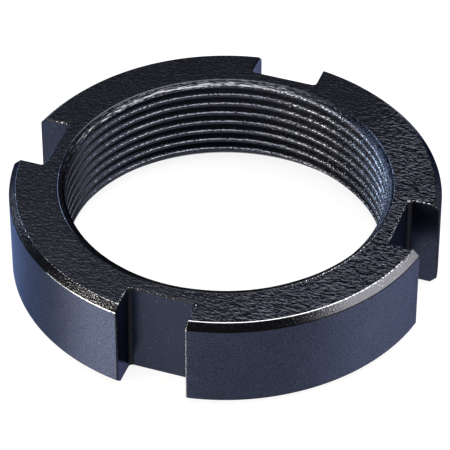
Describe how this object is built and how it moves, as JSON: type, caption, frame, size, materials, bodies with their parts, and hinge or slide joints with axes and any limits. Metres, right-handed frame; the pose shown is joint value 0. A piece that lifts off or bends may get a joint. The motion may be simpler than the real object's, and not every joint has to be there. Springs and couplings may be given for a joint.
{
  "type": "slotted round jam nut",
  "caption": "Round jam nut in blackened steel: a flat chamfered ring with a fine threaded bore and parallel-sided spanner slots around its rim, used to lock a thread.",
  "frame": {"origin": "centre of the lower bearing face, on the thread's axis", "axes": "+Z along the thread's axis, from the lower bearing face to the upper one; +X and +Y each along the middle of a spanner slot"},
  "size_m": [0.0538, 0.0538, 0.0127],
  "materials": {
    "black_steel": "blackened steel, satin turned sides and a slightly rough upper face"
  },
  "bodies": {
    "root": {"jam_nut": "black_steel"}
  },
  "joints": []
}
